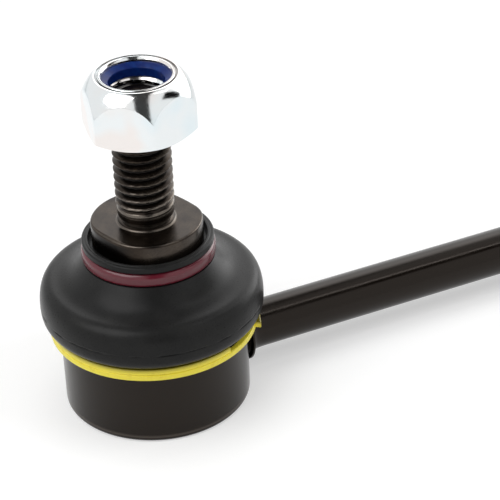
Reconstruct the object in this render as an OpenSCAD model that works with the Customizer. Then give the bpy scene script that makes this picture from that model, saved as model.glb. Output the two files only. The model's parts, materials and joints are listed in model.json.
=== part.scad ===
// Stabilizer link: a rod with a ball joint welded to each end, each with its stud, boot and lock nut.
// +X runs along the rod, +Z up the studs. The origin lies midway between the studs, on the floor.

/* [Link] */
// Distance between the axes of the two studs
stud_spacing = 240; // [160:1:340]
// Diameter of the connecting rod
rod_d = 8.3; // [7:0.1:9.5]
// Height of the rod's axis above the housings' undersides
rod_z = 7.05; // [6.4:0.05:7.4]
// How far the weld fillet rises above the rod
weld_rise = 1.45; // [0.8:0.05:1.6]
// Length of the weld fillet along the rod
weld_len = 2.8; // [2:0.1:5]
// Thickness of the weld fillet's edge against the housing
weld_edge = 0.35; // [0.2:0.05:0.8]

/* [Housing] */
// Outside diameter of the housing
housing_d = 32; // [30.6:0.1:33]
// Height of the housing from its underside to its mouth
housing_h = 16.7; // [16.2:0.1:17.6]
// Wall of the housing round the ball seat
housing_wall = 3.9; // [3:0.1:4.6]
// Radius of the housing's lower edge
housing_edge = 0.7; // [0.2:0.1:1.4]
// Diameter of the mouth that the stud swings in
mouth_d = 17.2; // [16.6:0.1:19]
// Diameter of the throat that holds the ball seat down
throat_d = 15.8; // [15.2:0.1:16.4]
// Thickness of the land between the boot's groove and the mouth
land_h = 0.7; // [0.5:0.1:1.2]
// How far the land stands back from the housing's outside
land_inset = 0.4; // [0.2:0.1:0.8]
// Depth of the boot's groove below the housing's outside
groove_depth = 1.6; // [1:0.1:2]
// Thickness of the rolled rim under the closing cover
rim_t = 0.5; // [0.3:0.1:1]
// How far the rolled rim reaches under the closing cover
rim_w = 0.9; // [0.5:0.1:2]

/* [Closing cover] */
// Thickness of the closing cover
cover_t = 1.5; // [1:0.1:1.8]
// How much wider the closing cover is than the ball seat, per side
cover_step = 0.9; // [0.4:0.1:1.6]
// Diameter of the pressed dish in the middle of the cover
dish_d = 14; // [8:0.5:20]
// Depth of the pressed dish
dish_depth = 0.5; // [0.2:0.1:0.8]

/* [Ball seat] */
// Thickness of the seat under the ball
seat_floor = 1.25; // [0.8:0.05:1.6]
// How far the seat reaches above the ball's centre
seat_wrap = 2.9; // [2.4:0.1:3.1]
// How far the seat's shoulder tapers in below the throat
seat_taper = 2.9; // [2:0.1:3.6]
// Number of slots that let the seat spring over the ball
slot_n = 6; // [4:1:8]
// Width of each slot
slot_w = 1.2; // [0.8:0.1:2]
// How far the slots reach below the ball's centre
slot_drop = 2; // [0:0.1:3]

/* [Ball stud] */
// Diameter of the ball
ball_d = 15; // [14.4:0.1:15.4]
// Diameter of the flat under the ball
ball_flat_d = 5; // [3:0.5:7]
// Diameter of the neck above the ball
neck_d = 9.2; // [8:0.1:9.6]
// Height of the neck's straight part above the ball's centre
neck_h = 8.2; // [7.2:0.1:9.5]
// Diameter of the neck where it flares to the boot's seat
flare_d = 11.4; // [10:0.1:12.6]
// Diameter that the boot seals on, under the collar
seal_d = 16.2; // [15:0.1:17]
// Height of the boot's seat under the collar
seal_h = 3.4; // [2.8:0.1:4.2]
// Rise of the cone from the flare to the boot's seat
seal_cone = 1.6; // [1:0.1:2.4]
// Diameter of the collar
collar_d = 18.8; // [18:0.1:19.6]
// Thickness of the collar
collar_t = 4.2; // [3.4:0.1:5]
// Width across the collar's two spanner flats
collar_flats = 17.1; // [16:0.1:17.8]
// Direction of the spanner flats, from the rod's axis
flats_turn = 18.6; // [0:0.1:180]
// Bevel round the collar's top
collar_bevel = 0.4; // [0.2:0.1:0.8]
// Height of the collar's top above the ball's centre
collar_rise = 23.5; // [22.5:0.1:26]
// Diameter of the plain shank above the collar
shank_d = 9.5; // [9:0.1:9.7]
// Height of the plain shank
shank_h = 2.9; // [2:0.1:4]
// Fillet at the foot of the shank
shank_fillet = 0.4; // [0.2:0.05:0.6]
// Major diameter of the thread
thread_d = 9.85; // [9.75:0.01:9.95]
// Height of the stud's tip above the collar
tip_h = 23.1; // [21:0.1:26]
// Chamfer at the stud's tip
tip_bevel = 0.9; // [0.4:0.1:1.4]

/* [Dust boot] */
// Thickness of the boot's bead under the clamp ring
bead_t = 2; // [1.6:0.1:2.4]
// How far the boot bulges out past the clamp ring
boot_bulge = 1.3; // [0.8:0.1:2.3]
// Wall of the boot
boot_wall = 1.5; // [1.1:0.1:1.7]
// Height of the boot's widest line above the clamp ring
boot_waist_h = 3.45; // [3:0.05:4.2]
// Height of the boot's shoulder above its widest line
shoulder_h = 4.5; // [4:0.1:5]
// How far the boot's shoulder lies inside its widest line
shoulder_in = 2.5; // [1.8:0.1:3]
// How far the lip rises round the collar
lip_rise = 1.2; // [0.6:0.1:2]
// Radial thickness of the lip
lip_w = 1.15; // [0.8:0.05:1.5]
// Radial room between the lip and the collar
lip_room = 0.55; // [0.3:0.05:0.8]

/* [Clamp rings] */
// Radial thickness of the clamp ring's flat wire
wire_w = 1.1; // [0.8:0.05:1.3]
// Height of the clamp ring's flat wire
wire_h = 1.1; // [0.9:0.05:1.2]
// Direction of the upper turn's end, from the rod's axis
wire_end = -67; // [-120:1:-40]
// Open stretch of the upper turn, in degrees
wire_open = 31; // [10:1:60]
// Outside diameter of the neck ring
neck_ring_d = 22.6; // [22.2:0.1:23.4]
// Radial thickness of the neck ring
neck_ring_w = 1.1; // [0.8:0.05:1.3]
// Height of the neck ring
neck_ring_h = 2.35; // [1.8:0.05:2.5]

/* [Lock nut] */
// Width across the nut's flats
nut_flats = 17; // [16:0.1:18]
// Height of the nut
nut_h = 10; // [9:0.1:11]
// Height of the nut's seat above the collar
nut_lift = 16.9; // [5:0.1:17.5]
// Direction of a corner of the nut, from the rod's axis
nut_turn = 21.5; // [0:0.1:60]
// Diameter of the nut's bore, outside its thread
nut_bore = 10; // [10:0.01:10.3]
// Height at which the nut's corners meet its domed crown
hex_h = 5.4; // [4.8:0.1:6.2]
// Height of the rolled collar above the crown
roll_h = 1.05; // [0.9:0.05:1.3]
// Diameter of the collar that is rolled over the insert
nut_collar_d = 12.6; // [12.4:0.1:13.2]
// Diameter of the opening in the rolled collar
nut_mouth_d = 11.3; // [11:0.1:11.5]
// Outside diameter of the nylon insert
insert_d = 11.8; // [11.6:0.1:12]
// Bore of the nylon insert, before the stud cuts into it
insert_bore = 9.1; // [8.8:0.05:9.5]
// Height of the nylon insert
insert_h = 2.4; // [1.8:0.1:2.5]
// Thickness of the rolled collar above the insert
roll_t = 0.8; // [0.6:0.05:0.9]
// Chamfer at the foot of the nut's bore
nut_lead = 0.4; // [0.2:0.1:0.6]
// Chamfer at both ends of the insert's bore
insert_lead = 0.35; // [0.2:0.05:0.5]

/* [Fits] */
// Gap between the ball and its seat
ball_gap = 0.1; // [0.05:0.01:0.15]
// Gap between pieces that sit against each other
seat_gap = 0.05; // [0.02:0.01:0.1]
// Gap round the boot where it sits on metal
boot_gap = 0.1; // [0.05:0.01:0.15]

/* [Hidden] */
$fn = 96;

// Finishes
black_coat = "#2b2826";
black_phosphate = "#3a3632";
black_rubber = "#2f2f2f";
white_plastic = "#e6e2d8";
bare_steel = "#8f8d8a";
zinc_plate = "#c9ccd0";
blue_nylon = "#15357a";
yellow_coat = "#e3cf3c";
wine_coat = "#6b2230";

// Housing and what it holds
housing_r = housing_d / 2;
cavity_r = housing_r - housing_wall;
cover_r = cavity_r + cover_step;
cover_top = rim_t + cover_t + seat_gap;
land_r = housing_r - land_inset;
groove_r = housing_r - groove_depth;
groove_top = housing_h - land_h;
seat_r = cavity_r - seat_gap;
seat_z = cover_top + seat_gap;
ball_r = ball_d / 2;
ball_z = seat_z + seat_floor + ball_gap + ball_r;
seat_top = ball_z + seat_wrap;
taper_z = seat_top - seat_taper;

// Stud, measured up from the ball
collar_top = ball_z + collar_rise;
collar_z = collar_top - collar_t;
seal_z = collar_z - seal_h;
shank_top = collar_top + shank_h;
tip_z = collar_top + tip_h;
collar_r = collar_d / 2;
shank_r = shank_d / 2;
thread_r = thread_d / 2;

// Clamp ring: two turns of wire round the boot's bead, which sits in the housing's groove
clamp_r = groove_r + bead_t + wire_w + 2 * boot_gap;
clamp_turns = 2;
clamp_top = groove_top - boot_gap;
clamp_z = clamp_top - clamp_turns * wire_h;
groove_z = clamp_z - boot_gap;
bead_r = clamp_r - wire_w - boot_gap;

// Neck ring and the boot's neck, under the collar
neck_ring_r = neck_ring_d / 2;
neck_ring_top = collar_z - boot_gap;
neck_ring_z = neck_ring_top - neck_ring_h;
// Share of its thickness over which the neck ring's outer edges are rounded
ring_round = 0.9;
boot_neck_r = neck_ring_r - neck_ring_w - boot_gap;
boot_seal_r = seal_d / 2 + boot_gap;
lip_r = collar_r + lip_room;
lip_top = collar_z + lip_rise;

// Boot: skirt over the clamp ring, widest line, shoulder, then a hollow cone up to the neck
skirt = [clamp_r - 2 * boot_gap, clamp_top + 2 * boot_gap];
waist = [clamp_r + boot_bulge, clamp_top + boot_waist_h];
shoulder = [waist.x - shoulder_in, waist.y + shoulder_h];
neck_foot = [neck_ring_r - boot_gap, neck_ring_z - boot_gap];
// Directions in which the boot's outline leaves its skirt, shoulder and neck
skirt_lean = 30;
shoulder_lean = 158;
neck_lean = 128;
// Share of each stretch over which the outline keeps the direction of its ends
soft_pull = 0.42;
firm_pull = 0.6;
curve_steps = 10;

// Lock nut, measured up from its own seat
nut_z = collar_top + nut_lift;
nut_corner_r = nut_flats / 2 / cos(30);
nut_collar_r = nut_collar_d / 2;
nut_mouth_r = nut_mouth_d / 2;
roll_r = (nut_collar_r - nut_mouth_r) / 2;
crown_z = nut_h - roll_h;
insert_top = nut_h - roll_t;
insert_z = insert_top - insert_h;
insert_r = insert_d / 2;
// Share of its width that the nut bears on
foot_share = 0.96;
washer_r = nut_flats / 2 * foot_share;
chamfer_slope = tan(30);

// A point at a distance along a direction in degrees
function polar(distance, angle) = distance * [cos(angle), sin(angle)];

// Points on a circular arc, both ends included
function arc(centre, radius, from, to, steps = 6) =
    [for (i = [0:steps]) centre + polar(radius, from + (to - from) * i / steps)];

// Points on a smooth curve between two points with given pulls, the last point left out
function bend(start, pull_a, pull_b, end, steps = curve_steps) =
    [for (i = [0:steps - 1])
        let (t = i / steps)
        pow(1 - t, 3) * start + 3 * t * pow(1 - t, 2) * pull_a
            + 3 * t * t * (1 - t) * pull_b + pow(t, 3) * end];

// Direction of a row of points at one of them
function heading(points, i) =
    let (step = points[min(i + 1, len(points) - 1)] - points[max(i - 1, 0)])
    step / norm(step);

// A row of points moved to its left by a distance
function moved_left(points, distance) =
    [for (i = [0:len(points) - 1])
        let (h = heading(points, i))
        points[i] + distance * [-h.y, h.x]];

function reversed(points) = [for (i = [len(points) - 1:-1:0]) points[i]];

// Outside of the boot from its skirt to the foot of its neck
function boot_curve() =
    let (low = waist.y - skirt.y, cone = norm(neck_foot - shoulder) * soft_pull)
    concat(
        bend(skirt, skirt + polar(low * soft_pull, skirt_lean), waist - [0, low * firm_pull], waist),
        bend(waist, waist + [0, shoulder_h * firm_pull],
             shoulder - polar(shoulder_h * soft_pull, shoulder_lean), shoulder),
        bend(shoulder, shoulder + polar(cone, shoulder_lean),
             neck_foot - polar(cone, neck_lean), neck_foot),
        [neck_foot]);

// Places a ball joint at an end of the rod, with its own +X towards the rod
module at_front() {
    translate([-stud_spacing / 2, 0, 0]) children();
}

module at_rear() {
    translate([stud_spacing / 2, 0, 0]) rotate([0, 0, 180]) children();
}

// Cylinder of the housing's outside, to shape what is welded to it
module housing_blank() {
    translate([0, 0, -1]) cylinder(r = housing_r, h = housing_h + 2);
}

module connecting_rod() {
    color(black_coat)
    difference() {
        translate([-stud_spacing / 2, 0, rod_z]) rotate([0, 90, 0]) cylinder(d = rod_d, h = stud_spacing);
        at_front() housing_blank();
        at_rear() housing_blank();
    }
}

// Flared ring round the rod, hollow-faced, that fills the corner between rod and housing
module weld_fillet() {
    rod_r = rod_d / 2;
    root = housing_r - housing_wall;
    foot = [rod_r + weld_rise, housing_r + weld_edge];
    toe = [rod_r, housing_r + weld_len];
    color(black_coat)
    difference() {
        translate([0, 0, rod_z]) rotate([0, 90, 0]) rotate_extrude()
            polygon(concat(
                [[0, root], [foot.x, root]],
                bend(foot, foot - [weld_rise * firm_pull, 0], toe - [0, weld_len * firm_pull], toe),
                [toe, [0, toe.y]]));
        housing_blank();
        translate([0, 0, rod_z]) rotate([0, 90, 0]) cylinder(d = rod_d, h = stud_spacing / 2);
    }
}

module housing() {
    throat_z = seat_top + seat_gap;
    color(black_coat)
    rotate_extrude()
        polygon(concat(
            [[cover_r - rim_w, 0]],
            arc([housing_r - housing_edge, housing_edge], housing_edge, -90, 0),
            [[housing_r, groove_z], [groove_r, groove_z], [groove_r, groove_top]],
            [[land_r, groove_top], [land_r, housing_h], [mouth_d / 2, housing_h]],
            [[throat_d / 2, throat_z], [cavity_r - seat_taper, throat_z]],
            [[cavity_r, taper_z + seat_gap], [cavity_r, cover_top], [cover_r, cover_top]],
            [[cover_r, rim_t], [cover_r - rim_w, rim_t]]));
}

// Pressed disc with a shallow dish, shut in by the housing's rolled rim
module closing_cover() {
    edge_r = cover_r - seat_gap;
    low = rim_t + seat_gap / 2;
    color(bare_steel)
    rotate_extrude()
        polygon([
            [0, low + dish_depth], [dish_d / 2 - dish_depth, low + dish_depth], [dish_d / 2, low],
            [edge_r, low], [edge_r, cover_top - seat_gap / 2], [0, cover_top - seat_gap / 2]]);
}

// Plastic cup that wraps past the ball's middle, slotted so that it springs over the ball
module ball_seat() {
    slot_h = seat_wrap + slot_drop;
    color(white_plastic)
    difference() {
        rotate_extrude()
            polygon([[0, seat_z], [seat_r, seat_z], [seat_r, taper_z],
                     [seat_r - seat_taper, seat_top], [0, seat_top]]);
        translate([0, 0, ball_z]) sphere(r = ball_r + ball_gap);
        for (i = [0:slot_n - 1])
            rotate([0, 0, 360 * i / slot_n])
                translate([0, -slot_w / 2, ball_z - slot_drop]) cube([seat_r + 1, slot_w, slot_h + 1]);
    }
}

// Flat-footed ball, neck, boot seat, collar, shank and thread in one forging, the thread as a plain cylinder
module ball_stud() {
    chamfer_h = thread_r - shank_r;
    flat_room = collar_r - collar_flats / 2;
    ball_foot = ball_z - sqrt(pow(ball_r, 2) - pow(ball_flat_d / 2, 2));
    color(black_phosphate)
    difference() {
        union() {
            intersection() {
                translate([0, 0, ball_z]) sphere(r = ball_r);
                translate([0, 0, ball_foot]) cylinder(r = ball_d, h = ball_d);
            }
            rotate_extrude()
                polygon(concat(
                    [[0, ball_z], [neck_d / 2, ball_z], [neck_d / 2, ball_z + neck_h]],
                    [[flare_d / 2, seal_z - seal_cone], [seal_d / 2, seal_z], [seal_d / 2, collar_z]],
                    [[collar_r, collar_z], [collar_r, collar_top - collar_bevel]],
                    [[collar_r - collar_bevel, collar_top]],
                    arc([shank_r + shank_fillet, collar_top + shank_fillet], shank_fillet, 270, 180),
                    [[shank_r, shank_top - chamfer_h], [thread_r, shank_top]],
                    [[thread_r, tip_z - tip_bevel], [thread_r - tip_bevel, tip_z], [0, tip_z]]));
        }
        for (side = [0, 180])
            rotate([0, 0, flats_turn + side])
                translate([collar_flats / 2, -collar_r, collar_z])
                    cube([flat_room + 1, collar_d, collar_t]);
    }
}

// Thin bellows: bead in the housing's groove, bulged skirt, hollow cone, neck and raised lip
module dust_boot() {
    outside = boot_curve();
    land_side = land_r + boot_gap;
    land_top = housing_h + boot_gap;
    inside = [for (p = reversed(moved_left(outside, boot_wall)))
        if (p.x > boot_seal_r && p.y > land_top) p];
    color(black_rubber)
    rotate_extrude()
        polygon(concat(
            [[groove_r + boot_gap, groove_z + boot_gap], [bead_r, groove_z + boot_gap]],
            [[bead_r, clamp_top + boot_gap]],
            outside,
            [[boot_neck_r, neck_foot.y], [boot_neck_r, neck_ring_top + boot_gap / 2]],
            [[lip_r + lip_w, neck_ring_top + boot_gap / 2]],
            arc([lip_r + lip_w / 2, lip_top - lip_w / 2], lip_w / 2, 0, 180),
            [[lip_r, collar_z - boot_gap], [boot_seal_r, collar_z - boot_gap]],
            [[boot_seal_r, inside[0].y]],
            inside,
            [[land_side, land_top], [land_side, groove_top - boot_gap]],
            [[groove_r + boot_gap, groove_top - boot_gap]]));
}

// Flat wire wound twice round the boot's bead, the upper turn cut short
module boot_clamp_ring() {
    color(yellow_coat)
    difference() {
        rotate_extrude()
            translate([clamp_r - wire_w, clamp_z]) square([wire_w, clamp_turns * wire_h]);
        rotate([0, 0, wire_end]) rotate_extrude(angle = wire_open)
            translate([clamp_r - 2 * wire_w, clamp_top - wire_h]) square([3 * wire_w, 2 * wire_h]);
    }
}

module neck_ring() {
    soft = neck_ring_w * ring_round;
    inner_r = neck_ring_r - neck_ring_w;
    color(wine_coat)
    rotate_extrude()
        polygon(concat(
            [[inner_r, neck_ring_z]],
            arc([neck_ring_r - soft, neck_ring_z + soft], soft, -90, 0),
            arc([neck_ring_r - soft, neck_ring_top - soft], soft, 0, 90),
            [[inner_r, neck_ring_top]]));
}

// Hexagon with a domed crown, chamfered foot and a thin collar rolled over the insert
module lock_nut() {
    corner = [nut_corner_r, hex_h];
    crown = [nut_collar_r, crown_z];
    reach = crown - corner;
    color(zinc_plate)
    translate([0, 0, nut_z]) rotate([0, 0, nut_turn])
    difference() {
        intersection() {
            cylinder(r = nut_corner_r, h = nut_h, $fn = 6);
            rotate_extrude()
                polygon(concat(
                    [[0, 0], [washer_r, 0]],
                    [[nut_corner_r, (nut_corner_r - washer_r) * chamfer_slope]],
                    bend(corner, corner + [0, reach.y * firm_pull], crown - [reach.x * firm_pull, 0], crown),
                    [crown],
                    arc([nut_collar_r - roll_r, nut_h - roll_r], roll_r, 0, 180, 8),
                    [[nut_mouth_r, insert_top], [0, insert_top]]));
        }
        translate([0, 0, -1]) cylinder(d = nut_bore, h = nut_h);
        cylinder(d1 = nut_bore + 2 * nut_lead, d2 = nut_bore, h = nut_lead);
        translate([0, 0, insert_z - seat_gap])
            cylinder(r = insert_r + seat_gap, h = insert_h + 2 * seat_gap);
    }
}

// Nylon ring that grips the stud's thread
module nylon_insert() {
    bore_r = insert_bore / 2;
    color(blue_nylon)
    translate([0, 0, nut_z]) rotate_extrude()
        polygon([
            [bore_r + insert_lead, insert_z], [insert_r, insert_z], [insert_r, insert_top],
            [bore_r + insert_lead, insert_top], [bore_r, insert_top - insert_lead],
            [bore_r, insert_z + insert_lead]]);
}

connecting_rod();

at_front() weld_fillet();  // weld_fillet_front
at_front() housing();  // housing_front
at_front() closing_cover();  // closing_cover_front
at_front() ball_seat();  // ball_seat_front
at_front() ball_stud();  // ball_stud_front
at_front() dust_boot();  // dust_boot_front
at_front() boot_clamp_ring();  // boot_clamp_ring_front
at_front() neck_ring();  // neck_ring_front
at_front() lock_nut();  // lock_nut_front
at_front() nylon_insert();  // nylon_insert_front

at_rear() weld_fillet();  // weld_fillet_rear
at_rear() housing();  // housing_rear
at_rear() closing_cover();  // closing_cover_rear
at_rear() ball_seat();  // ball_seat_rear
at_rear() ball_stud();  // ball_stud_rear
at_rear() dust_boot();  // dust_boot_rear
at_rear() boot_clamp_ring();  // boot_clamp_ring_rear
at_rear() neck_ring();  // neck_ring_rear
at_rear() lock_nut();  // lock_nut_rear
at_rear() nylon_insert();  // nylon_insert_rear
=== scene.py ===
"""Finished surfaces of a stabilizer link: a rod with a ball joint at each end, and a studio round it."""
import json
import math

import bmesh
import bpy
import numpy as np
from bpy.props import FloatProperty, FloatVectorProperty, PointerProperty
from mathutils import Matrix, Vector


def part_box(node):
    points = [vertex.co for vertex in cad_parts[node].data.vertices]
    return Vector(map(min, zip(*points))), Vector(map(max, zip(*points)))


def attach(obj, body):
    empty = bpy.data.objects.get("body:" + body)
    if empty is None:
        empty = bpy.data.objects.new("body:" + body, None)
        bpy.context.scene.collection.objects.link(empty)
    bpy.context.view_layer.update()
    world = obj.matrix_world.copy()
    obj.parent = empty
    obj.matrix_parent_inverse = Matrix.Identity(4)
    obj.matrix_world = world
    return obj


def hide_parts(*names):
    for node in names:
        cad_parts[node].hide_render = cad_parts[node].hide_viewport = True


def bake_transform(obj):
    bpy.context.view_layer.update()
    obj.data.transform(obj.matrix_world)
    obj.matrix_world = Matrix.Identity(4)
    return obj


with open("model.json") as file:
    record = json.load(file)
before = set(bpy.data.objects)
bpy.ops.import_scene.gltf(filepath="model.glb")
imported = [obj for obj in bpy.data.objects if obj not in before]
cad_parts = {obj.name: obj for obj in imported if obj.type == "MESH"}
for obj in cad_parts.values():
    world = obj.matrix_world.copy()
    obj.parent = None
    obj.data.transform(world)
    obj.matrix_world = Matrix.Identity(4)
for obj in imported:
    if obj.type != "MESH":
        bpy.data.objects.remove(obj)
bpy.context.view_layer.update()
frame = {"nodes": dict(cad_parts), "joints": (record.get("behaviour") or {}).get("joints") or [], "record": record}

bl_info = {
    "name": "Stabilizer link",
    "version": (1, 0, 0),
    "blender": (4, 5, 0),
    "location": "View3D > Sidebar > Link",
    "description": "Builds the finished pieces of a stabilizer link and a studio to show them in",
    "category": "Object",
}

MM = 0.001
FULL_TURN = 2 * math.pi
SIXTH_TURN = FULL_TURN / 6

# Pixels across the photograph
IMAGE_PX = 500

# Faces round a turned piece: most of them, the plain ones, the housings and the boots
COLUMNS, PLAIN_COLUMNS, HOUSING_COLUMNS, BOOT_COLUMNS = 144, 96, 160, 180

# Rows of points in one turn of a thread
THREAD_ROWS = 20

# Edges that turn by more than this stay crisp
CREASE = math.radians(32)

# Each end of the link, with the turn that its joint has there: the rear joint faces the other way
ENDS = {"front": 1, "rear": -1}

# Inputs of a colour Mix node
MIX_FACTOR, MIX_A, MIX_B = 0, 6, 7


def radius_of(node):
    """Outside radius of a round node, from its width across the rod."""
    low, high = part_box(node)
    return (high.y - low.y) / 2


def levels_of(node):
    """Lowest and highest level of a node."""
    low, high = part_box(node)
    return low.z, high.z


def named(rows, name):
    """The row of a list of records that has a given name."""
    return next(row for row in rows if row["name"] == name)


def axis_x(end):
    """Place along the rod of a stud's axis."""
    return named(frame["joints"], "swing_" + end)["pos_m"][0]


BALL_Z = named(frame["joints"], "swing_front")["pos_m"][2]
COLLAR_TOP = named(frame["record"]["mounts"], "collar_seat_front")["pos_m"][2]
SHANK_R = named(frame["record"]["mounts"], "stud_front")["dims"]["r_mm"] * MM
HOUSING_TOP = levels_of("housing_front")[1]
CLAMP_LOW, CLAMP_TOP = levels_of("boot_clamp_ring_front")
NECK_LOW, NECK_TOP = levels_of("neck_ring_front")
BOOT_LOW, BOOT_TOP = levels_of("dust_boot_front")
NUT_LOW, NUT_TOP = levels_of("lock_nut_front")
INSERT_LOW, INSERT_TOP = levels_of("nylon_insert_front")
COVER_LOW, COVER_TOP = levels_of("closing_cover_front")
STUD_LOW, STUD_TIP = levels_of("ball_stud_front")
ROD_Z = sum(levels_of("connecting_rod")) / 2


def linear(code):
    """Linear colour of an sRGB hex code."""
    shares = [int(code[i:i + 2], 16) / 255 for i in (1, 3, 5)]
    return tuple(s / 12.92 if s <= 0.04045 else ((s + 0.055) / 1.055) ** 2.4 for s in shares) + (1.0,)


def length(name, description, default):
    """A size in metres for the sidebar."""
    return FloatProperty(
        name=name, description=description, default=default, min=0.0, unit="LENGTH", precision=5)


def turn(name, description, degrees):
    """An angle for the sidebar."""
    return FloatProperty(name=name, description=description, default=math.radians(degrees), subtype="ANGLE")


def wattage(name, description, watts):
    """A light's power for the sidebar."""
    return FloatProperty(name=name, description=description, default=watts, min=0.0, unit="POWER")


def number(name, description, default):
    """A plain number for the sidebar."""
    return FloatProperty(name=name, description=description, default=default, min=0.0)


def colour(name, description, code):
    """A colour for the sidebar, from its sRGB hex code."""
    return FloatVectorProperty(
        name=name, description=description, default=linear(code), size=4, min=0.0, max=1.0, subtype="COLOR")


class LinkBodySizes(bpy.types.PropertyGroup):
    """Sizes of the rod, its welds, the housings and their covers."""
    rod_r: length("Rod radius", "Radius of the connecting rod", radius_of("connecting_rod"))
    weld_r: length("Weld radius", "Outer radius of the weld's flange", radius_of("weld_fillet_front"))
    weld_len: length("Weld length", "How far the weld runs out along the rod", 2.8 * MM)
    housing_r: length("Housing radius", "Outside radius of the housing", radius_of("housing_front"))
    housing_edge: length("Housing edge", "Radius of the housing's lower edge", 0.7 * MM)
    cavity_r: length("Cavity radius", "Radius of the housing's cavity", 12.1 * MM)
    groove_depth: length("Groove depth", "Depth of the groove that holds the boot", 1.6 * MM)
    land_h: length("Land height", "Height of the land between groove and mouth", 0.7 * MM)
    land_in: length("Land inset", "How far the land lies inside the housing's side", 0.4 * MM)
    dish_r: length("Dish radius", "Radius of the pressed dish in the cover", 7 * MM)


class LinkStudSizes(bpy.types.PropertyGroup):
    """Sizes of the ball stud."""
    ball_r: length("Ball radius", "Radius of the ball", 7.5 * MM)
    neck_r: length("Neck radius", "Radius of the neck above the ball", 4.6 * MM)
    seal_r: length("Seal radius", "Radius that the boot seals on", 8.1 * MM)
    collar_r: length("Collar radius", "Radius of the collar", 9.4 * MM)
    collar_t: length("Collar thickness", "Thickness of the collar", 4.2 * MM)
    collar_edge: length("Collar edge", "Radius of the collar's upper edge", 0.35 * MM)
    flat_edge: length("Flat edge", "Radius of the collar's upper edge at a spanner flat", 0.6 * MM)
    flats: length("Flats", "Width across the collar's two spanner flats", 17.7 * MM)
    flats_turn: turn("Flats direction", "Direction of the spanner flats", 18.6)
    shank_h: length("Shank height", "Height of the plain shank", 2.9 * MM)
    shank_fillet: length("Shank fillet", "Radius of the fillet at the foot of the shank", 0.4 * MM)
    relief: length("Relief", "Depth of the relief at the foot of the shank", 0.45 * MM)
    thread_r: length("Thread radius", "Radius of the thread's crests", 4.9 * MM)
    thread_pitch: length("Thread pitch", "Rise of the thread in one turn", 1.5 * MM)
    thread_depth: length("Thread depth", "Depth of the thread below its crests", 0.84 * MM)
    thread_start: length("Thread start", "Height of a crest on the side of the rod", 39.14 * MM)
    tip_bevel: length("Tip bevel", "Chamfer at the stud's tip", 1.5 * MM)


class LinkBootSizes(bpy.types.PropertyGroup):
    """Sizes of the dust boot and its two rings."""
    boot_r: length("Boot radius", "Largest radius of the boot", radius_of("dust_boot_front") - 0.01 * MM)
    boot_wall: length("Boot wall", "Wall of the boot", 1.5 * MM)
    waist_h: length("Waist height", "Height of the boot's widest line above the clamp ring", 3.45 * MM)
    shoulder_h: length("Shoulder height", "Height of the shoulder above the widest line", 4.5 * MM)
    shoulder_in: length("Shoulder inset", "How far the shoulder lies inside the widest line", 2.5 * MM)
    flash: length("Mould line", "Depth of the mould line along the widest line", 0.14 * MM)
    lip_w: length("Lip width", "Radial width of the lip round the collar", 1.15 * MM)
    lip_room: length("Lip room", "Gap between the lip and the collar", 0.55 * MM)
    gap: length("Seat gap", "Gap round the boot where it sits on metal", 0.1 * MM)
    clamp_r: length("Clamp radius", "Outside radius of the clamp ring", radius_of("boot_clamp_ring_front"))
    wire: length("Wire", "Width and height of the clamp ring's wire", 1.1 * MM)
    wire_end: turn("Wire end", "Direction of the upper turn's cut end", -67)
    wire_open: turn("Wire gap", "Open stretch of the upper turn", 31)
    wire_spring: length("Wire spring", "How far the upper turn's other end springs out", 1.0 * MM)
    neck_r: length("Neck ring radius", "Outside radius of the neck ring", radius_of("neck_ring_front"))
    neck_w: length("Neck ring thickness", "Radial thickness of the neck ring", 1.1 * MM)


class LinkNutSizes(bpy.types.PropertyGroup):
    """Sizes of the lock nut and its insert."""
    flats: length("Flats", "Width across the nut's flats", 17 * MM)
    corner_r: length("Corner radius", "Radius to which the nut's corners are turned", 9.76 * MM)
    nut_turn: turn("Nut direction", "Direction of one of the nut's corners", 21.5)
    washer_r: length("Foot radius", "Radius of the nut's bearing face", 8.16 * MM)
    hex_h: length("Corner height", "Height at which the corners meet the domed crown", 4.8 * MM)
    roll_h: length("Roll height", "Height of the rolled collar above the crown", 0.1 * MM)
    roll_r: length("Roll radius", "Outside radius of the rolled collar", 6.3 * MM)
    seam_w: length("Seam width", "Width of the seam between the crown and the rolled collar", 0.42 * MM)
    mouth_r: length("Mouth radius", "Radius of the rolled collar's opening", 5.65 * MM)
    # Painted shade and oil in the seam are darkest on this side
    seam_shade_turn: turn("Oil direction", "Side of the nut where oil has gathered in the seam", -100)
    thread_room: length("Thread room", "Gap between the nut's thread and the stud's", 0.1 * MM)
    insert_r: length("Insert radius", "Outside radius of the insert", radius_of("nylon_insert_front"))
    insert_bore: length("Insert bore", "Radius of the insert's bore", 4.55 * MM)


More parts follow.
